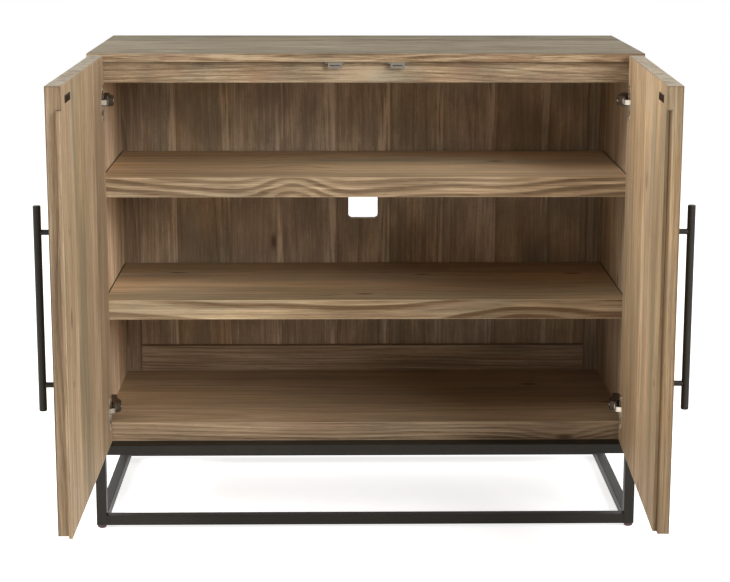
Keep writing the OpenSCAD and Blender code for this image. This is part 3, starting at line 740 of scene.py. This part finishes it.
# Copies of the hinge plating with painted light (cups, right links) and painted shade (arms, mounting plates)
painted_light_nickel = plated("satin_nickel_painted_light", NICKEL_PAINTED_LIGHT, NICKEL_PAINTED_LIGHT_CLOUD)
painted_shade_nickel = plated("satin_nickel_painted_shade", NICKEL_PAINTED_SHADE, NICKEL_PAINTED_SHADE_CLOUD)
housing = moulded("catch_plastic", HOUSING, roughness=0.5)
foot = moulded("foot_plastic", FOOT, roughness=0.22)
ferrite = moulded("magnet_ferrite", FERRITE, roughness=0.45)

for node, slot in SLOT.items():
    if slot == "dark_metal":
        dress(node, metal)
        if "tube" in node or "leg" in node:
            soften(node, SOFT_TUBE)
    elif slot == "steel":
        dress(node, plate)
for node, material in (
    ("feet", foot), ("catch_housings", housing),
    ("left_cups", painted_light_nickel), ("right_cups", painted_light_nickel), ("right_links", painted_light_nickel),
    ("hinge_arms", painted_shade_nickel), ("hinge_plates", painted_shade_nickel),
    ("left_strike_plate", strike), ("right_strike_plate", strike),
):
    dress(node, material)
for node in ("hinge_plates", "catch_housings", "left_strike_plate", "right_strike_plate", "shelf_supports"):
    soften(node, SOFT_HARDWARE)


# Small hardware, each piece on the place of the CAD node that it stands for
def solids(node):
    """Points of each separate solid of a CAD node."""
    mesh = NODES[node].data
    keys = [tuple(round(c, 5) for c in v.co) for v in mesh.vertices]
    owner = {key: key for key in keys}

    def root(key):
        while owner[key] != key:
            key = owner[key]
        return key

    for face in mesh.polygons:
        first = root(keys[face.vertices[0]])
        for index in face.vertices[1:]:
            owner[root(keys[index])] = first
    groups = {}
    for key in owner:
        groups.setdefault(root(key), []).append(key)
    return [numpy.array(group) for _, group in sorted(groups.items())]


def lathe(shape, profile, place, segments, carve=None):
    """Adds the surface that a profile of (radius, height) sweeps round the z axis of a place."""
    rings = []
    for radius, height in profile:
        ring = []
        for i in range(segments if radius > 0 else 1):
            angle = 2 * math.pi * i / segments
            x, y = radius * math.cos(angle), radius * math.sin(angle)
            z = height - carve(x, y, height) if carve else height
            ring.append(shape.verts.new(place @ Vector((x, y, z))))
        rings.append(ring)
    for lower, upper in zip(rings, rings[1:]):
        for i in range(segments):
            corners = []
            for ring, step in ((lower, i), (lower, i + 1), (upper, i + 1), (upper, i)):
                corner = ring[step % len(ring)]
                if corner not in corners:
                    corners.append(corner)
            if len(corners) > 2:
                shape.faces.new(corners)


SMOOTH_TO = math.radians(35)


def piece(name, shape, material, node, stands_for=True):
    """Turns a bmesh into a piece that rides with a CAD node, and stands for it unless it is an addition."""
    mesh = bpy.data.meshes.new(name)
    shape.to_mesh(mesh)
    shape.free()
    mesh.shade_smooth()
    mesh.set_sharp_from_angle(angle=SMOOTH_TO)
    mesh.materials.append(material)
    thing = bpy.data.objects.new(name, mesh)
    bpy.context.collection.objects.link(thing)
    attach(thing, BODY[node])
    if stands_for:
        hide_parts(node)
    return thing


RIM_SHARE = 0.9  # points at least this share of the widest radius belong to the head
NECK = 0.002  # the shank is measured this far below the head


def screw_place(points):
    """A screw's place, with the head's underside at its origin and z out of the head, then the head's radius
    and height, and the shank's radius and length."""
    middle = points.mean(axis=0)
    spreads, ways = numpy.linalg.eigh(numpy.cov((points - middle).T))
    axis = ways[:, 2] if spreads[2] - spreads[1] > spreads[1] - spreads[0] else ways[:, 0]
    along = (points - middle) @ axis
    radius = numpy.linalg.norm(points - middle - numpy.outer(along, axis), axis=1)
    head = radius > RIM_SHARE * radius.max()
    if along[head].mean() < along.mean():
        axis, along = -axis, -along
    under = along[head].min()
    place = Vector((0, 0, 1)).rotation_difference(Vector(axis)).to_matrix().to_4x4()
    place.translation = Vector(middle + under * axis)
    shank = radius[along < under - NECK].max()
    return place, radius.max(), along.max() - under, shank, under - along.min()


# Arms of a cross recess as shares of the head's radius, and how much shallower they end
RECESS_LENGTH = 0.56
RECESS_WIDTH = 0.17
RECESS_SLOPE = 0.6
# Depth of the recess as a share of the head's height, and its least depth
RECESS_DEPTH = 0.5
LEAST_RECESS = 0.0005


def cross_recess(radius, depth):
    """Depth of a cross-shaped drive recess at a point of the head, nothing below the head."""
    arm_length, arm_width = RECESS_LENGTH * radius, RECESS_WIDTH * radius

    def carve(x, y, height):
        if height <= 0:
            return 0.0
        long, short = max(abs(x), abs(y)), min(abs(x), abs(y))
        if long > arm_length or short > arm_width:
            return 0.0
        return depth * (1 - RECESS_SLOPE * long / arm_length)

    return carve


# Dome of a screw's head: shares of its radius and height
DOME = (
    (1.0, 0.3), (0.97, 0.55), (0.88, 0.78), (0.75, 0.91), (0.62, 0.97), (0.5, 1.0),
    (0.4, 1.0), (0.3, 1.0), (0.2, 1.0), (0.1, 1.0), (0, 1.0),
)
# Tip of the shank as shares of its radius, and the head's underside as a share of its radius
TIP_WIDTH = 0.4
TIP_LENGTH = 0.8
UNDER_HEAD = 0.97
SCREW_SEGMENTS = 48
BAR_SEGMENTS = 96
BAR_CHAMFER = 0.0008


def screws(node):
    """Screws with domed heads, a chamfered shank and a cross recess."""
    shape = bmesh.new()
    for points in solids(node):
        place, radius, height, shank, length = screw_place(points)
        tip = [(0, -length), (shank * TIP_WIDTH, -length), (shank, -length + shank * TIP_LENGTH)]
        under_head = [(shank, 0), (radius * UNDER_HEAD, 0)]
        dome = [(share * radius, height * level) for share, level in DOME]
        recess = cross_recess(radius, max(RECESS_DEPTH * height, LEAST_RECESS))
        lathe(shape, tip + under_head + dome, place, SCREW_SEGMENTS, recess)
    piece(node + "_heads", shape, strike if "strike" in node else plate, node)


def bar(node):
    """Round bar with chamfered ends."""
    low, high = (Vector(corner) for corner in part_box(node))
    radius, length = (high.x - low.x) / 2, high.z - low.z
    narrow = radius - BAR_CHAMFER
    shape = bmesh.new()
    profile = [(0, 0), (radius * 0.5, 0), (narrow, 0), (radius, BAR_CHAMFER)]
    profile += [(radius, length - BAR_CHAMFER), (narrow, length), (radius * 0.5, length), (0, length)]
    middle = (low + high) / 2
    lathe(shape, profile, Matrix.Translation((middle.x, middle.y, low.z)), BAR_SEGMENTS)
    piece(node + "_round", shape, metal, node)


def rounded_block(shape, low, high, bevel):
    """Adds a box with rounded edges."""
    made = bmesh.ops.create_cube(shape, size=1.0)["verts"]
    size = Vector(high) - Vector(low)
    bmesh.ops.scale(shape, vec=size, verts=made)
    bmesh.ops.translate(shape, vec=(Vector(high) + Vector(low)) / 2, verts=made)
    edges = list(dict.fromkeys(edge for vert in made for edge in vert.link_edges))
    bmesh.ops.bevel(shape, geom=edges, offset=bevel, segments=2, affect="EDGES", profile=0.5)


ON_FLOOR = 0.001
SAME_LEVEL = 0.0005
FOOT_CHAMFER = 0.0008
FOOT_SEGMENTS = 64
PLUG_WIDTH = 0.0156
PLUG_BEVEL = 0.0008
RIM_CURVE = 0.0016
RIM_STEPS = 5


def glides():
    """Feet with a rounded, glossy rim and a plug up into the leg."""
    shape = bmesh.new()
    for points in solids("feet"):
        low, high = points.min(axis=0), points.max(axis=0)
        middle = (low + high) / 2
        # Height of the round part, and its radius on the floor and above
        level = min(z for z in points[:, 2] if z > ON_FLOOR)
        tip = max(numpy.hypot(*(p[:2] - middle[:2])) for p in points if p[2] < ON_FLOOR)
        wide = max(numpy.hypot(*(p[:2] - middle[:2])) for p in points if p[2] < level + SAME_LEVEL)
        place = Matrix.Translation((middle[0], middle[1], 0.0))
        profile = [(0, 0.0), (tip * 0.5, 0.0)]
        for step in range(RIM_STEPS + 1):
            angle = math.pi / 2 * step / RIM_STEPS
            rim = tip - RIM_CURVE + RIM_CURVE * math.sin(angle)
            profile.append((rim, RIM_CURVE - RIM_CURVE * math.cos(angle)))
        profile += [(wide - FOOT_CHAMFER / 2, level - FOOT_CHAMFER), (wide - FOOT_CHAMFER, level), (0, level)]
        lathe(shape, profile, place, FOOT_SEGMENTS)
        half = Vector((PLUG_WIDTH / 2, PLUG_WIDTH / 2, 0))
        foot_low = Vector((middle[0], middle[1], level)) - half
        foot_high = Vector((middle[0], middle[1], high[2])) + half
        rounded_block(shape, foot_low, foot_high, PLUG_BEVEL)
    piece("feet_round", shape, foot, "feet")


# The magnet's front and back behind the poles' front, and its distance from their sides and faces
MAGNET_FRONT = 0.0003
MAGNET_BACK = 0.003
MAGNET_INSET = 0.001
MAGNET_GAP = 0.0001
MAGNET_BEVEL = 0.0002


def magnets():
    """Magnet between the two poles of each catch."""
    shape = bmesh.new()
    poles = solids("catch_poles")
    for side in (-1, 1):
        pair = [p for p in poles if side * p[:, 0].mean() > 0]
        lower, upper = sorted(pair, key=lambda p: p[:, 2].mean())
        left, right, front = lower[:, 0].min(), lower[:, 0].max(), lower[:, 1].min()
        low = (left + MAGNET_INSET, front + MAGNET_FRONT, lower[:, 2].max() + MAGNET_GAP)
        high = (right - MAGNET_INSET, front + MAGNET_BACK, upper[:, 2].min() - MAGNET_GAP)
        rounded_block(shape, low, high, MAGNET_BEVEL)
    piece("catch_magnets", shape, ferrite, "catch_housings", stands_for=False)


for node in (
    "plate_screws", "arm_screws", "catch_screws", "base_screws",
    "left_cup_screws", "right_cup_screws", "left_strike_screws", "right_strike_screws",
):
    screws(node)
for node in ("left_handle_bar", "right_handle_bar"):
    bar(node)
glides()
magnets()

# Studio: a pale floor that keeps the shadow, white all round, and soft lamps
FLOOR_SIZE = 14.0
FLOOR_COLOUR = (240, 240, 240)
FLOOR_GLOW_NEAR = 0.78
FLOOR_GLOW_FAR = 0.90
FLOOR_GLOW_REACH = 5.0
WORLD_STRENGTH = 0.22
WHITE = (1.0, 1.0, 1.0, 1.0)
LAMP_AIM = Vector((0.0, 0.0, 0.5))
LAMP_DISTANCE = 3.6
# Softboxes: azimuth and elevation in degrees, width and height in metres, power in watts
LAMPS = {
    "key_softbox": (36, 26, 1.3, 2.0, 84),
    "left_softbox": (-72, 32, 1.3, 1.3, 82),
    "left_fill": (-48, 20, 1.3, 1.3, 12),
    "back_left_softbox": (-142, 30, 1.4, 1.4, 26),
    "back_right_softbox": (142, 30, 1.4, 1.4, 22),
}


def floor():
    """Matt floor that glows for the camera and for gloss only, less under the cabinet."""
    shape = bmesh.new()
    bmesh.ops.create_grid(shape, x_segments=1, y_segments=1, size=FLOOR_SIZE / 2)
    mesh = bpy.data.meshes.new("studio_floor")
    shape.to_mesh(mesh)
    shape.free()
    thing = bpy.data.objects.new("studio_floor", mesh)
    bpy.context.collection.objects.link(thing)
    s = Shader("studio_floor")
    s.surface.inputs["Base Color"].default_value = linear(FLOOR_COLOUR)
    s.surface.inputs["Roughness"].default_value = 0.9
    s.surface.inputs["Specular IOR Level"].default_value = 0.0
    path = s.add("ShaderNodeLightPath")
    seen = s.math("MAXIMUM", path.outputs["Is Camera Ray"], path.outputs["Is Glossy Ray"])
    seen = s.math("MAXIMUM", seen, path.outputs["Is Transmission Ray"])
    glow = s.add("ShaderNodeEmission")
    source = s.place()[0]
    away = s.add("ShaderNodeVectorMath", operation="LENGTH")
    s.feed(away.inputs[0], source)
    reach = s.times(away.outputs["Value"], 1 / FLOOR_GLOW_REACH)
    level = s.ramp(reach, (0.12, FLOOR_GLOW_NEAR), (0.45, FLOOR_GLOW_FAR))
    s.feed(glow.inputs["Strength"], s.times(seen, level))
    both = s.add("ShaderNodeAddShader")
    output = next(n for n in s.tree.nodes if n.type == "OUTPUT_MATERIAL")
    s.tree.links.new(s.surface.outputs["BSDF"], both.inputs[0])
    s.tree.links.new(glow.outputs["Emission"], both.inputs[1])
    s.tree.links.new(both.outputs["Shader"], output.inputs["Surface"])
    mesh.materials.append(s.material)


def world(strength):
    """White to the camera and to gloss, soft ambient light for everything else."""
    sky = bpy.data.worlds.new("studio")
    bpy.context.scene.world = sky
    sky.use_nodes = True
    nodes, links = sky.node_tree.nodes, sky.node_tree.links
    nodes.clear()
    output = nodes.new("ShaderNodeOutputWorld")
    ambient = nodes.new("ShaderNodeBackground")
    ambient.inputs["Color"].default_value = WHITE
    ambient.inputs["Strength"].default_value = strength
    white = nodes.new("ShaderNodeBackground")
    white.inputs["Color"].default_value = WHITE
    white.inputs["Strength"].default_value = 1.0
    path = nodes.new("ShaderNodeLightPath")
    seen = path.outputs["Is Camera Ray"]
    for other in ("Is Glossy Ray", "Is Transmission Ray"):
        either = nodes.new("ShaderNodeMath")
        either.operation = "MAXIMUM"
        links.new(seen, either.inputs[0])
        links.new(path.outputs[other], either.inputs[1])
        seen = either.outputs[0]
    mix = nodes.new("ShaderNodeMixShader")
    links.new(seen, mix.inputs["Fac"])
    links.new(ambient.outputs[0], mix.inputs[1])
    links.new(white.outputs[0], mix.inputs[2])
    links.new(mix.outputs[0], output.inputs["Surface"])


def softbox(name, azimuth, elevation, width, height, power):
    """Softbox at an angle from the front, positive to the right, aimed at the middle of the cabinet."""
    turn, up = math.radians(azimuth), math.radians(elevation)
    way = Vector((math.sin(turn) * math.cos(up), -math.cos(turn) * math.cos(up), math.sin(up)))
    lamp = bpy.data.lights.new(name, "AREA")
    lamp.shape = "RECTANGLE"
    lamp.size = width
    lamp.size_y = height
    lamp.energy = power
    thing = bpy.data.objects.new(name, lamp)
    bpy.context.collection.objects.link(thing)
    thing.location = LAMP_AIM + LAMP_DISTANCE * way
    thing.rotation_euler = (-way).to_track_quat("-Z", "Y").to_euler()
    thing.visible_camera = False


floor()
world(WORLD_STRENGTH)
for name, lamp in LAMPS.items():
    softbox(name, *lamp)

# Camera at the photograph's viewpoint, in metres; lens and sensor in millimetres
CAMERA_PLACE = (-0.0545, -3.4510, 1.1934)
CAMERA_YAW = math.radians(0.926)
CAMERA_PITCH = math.radians(-10.734)
CAMERA_ROLL = math.radians(0.091)
CAMERA_LENS = 88.116
CAMERA_SENSOR = 36.0
CAMERA_SHIFT_Y = -0.09
CAMERA_NEAR = 0.05
CAMERA_FAR = 60.0

camera = bpy.data.cameras.new("camera")
camera.lens = CAMERA_LENS
camera.sensor_width = CAMERA_SENSOR
camera.sensor_fit = "HORIZONTAL"
camera.shift_y = CAMERA_SHIFT_Y
camera.clip_start = CAMERA_NEAR
camera.clip_end = CAMERA_FAR
camera.dof.use_dof = False
view = bpy.data.objects.new("camera", camera)
bpy.context.collection.objects.link(view)
forward = Vector((
    math.sin(CAMERA_YAW) * math.cos(CAMERA_PITCH),
    math.cos(CAMERA_YAW) * math.cos(CAMERA_PITCH),
    math.sin(CAMERA_PITCH),
))
turn = forward.to_track_quat("-Z", "Y").to_matrix() @ Matrix.Rotation(CAMERA_ROLL, 3, "Z")
view.matrix_world = Matrix.Translation(CAMERA_PLACE) @ turn.to_4x4()
bpy.context.scene.camera = view
bpy.context.scene.view_settings.view_transform = "Standard"
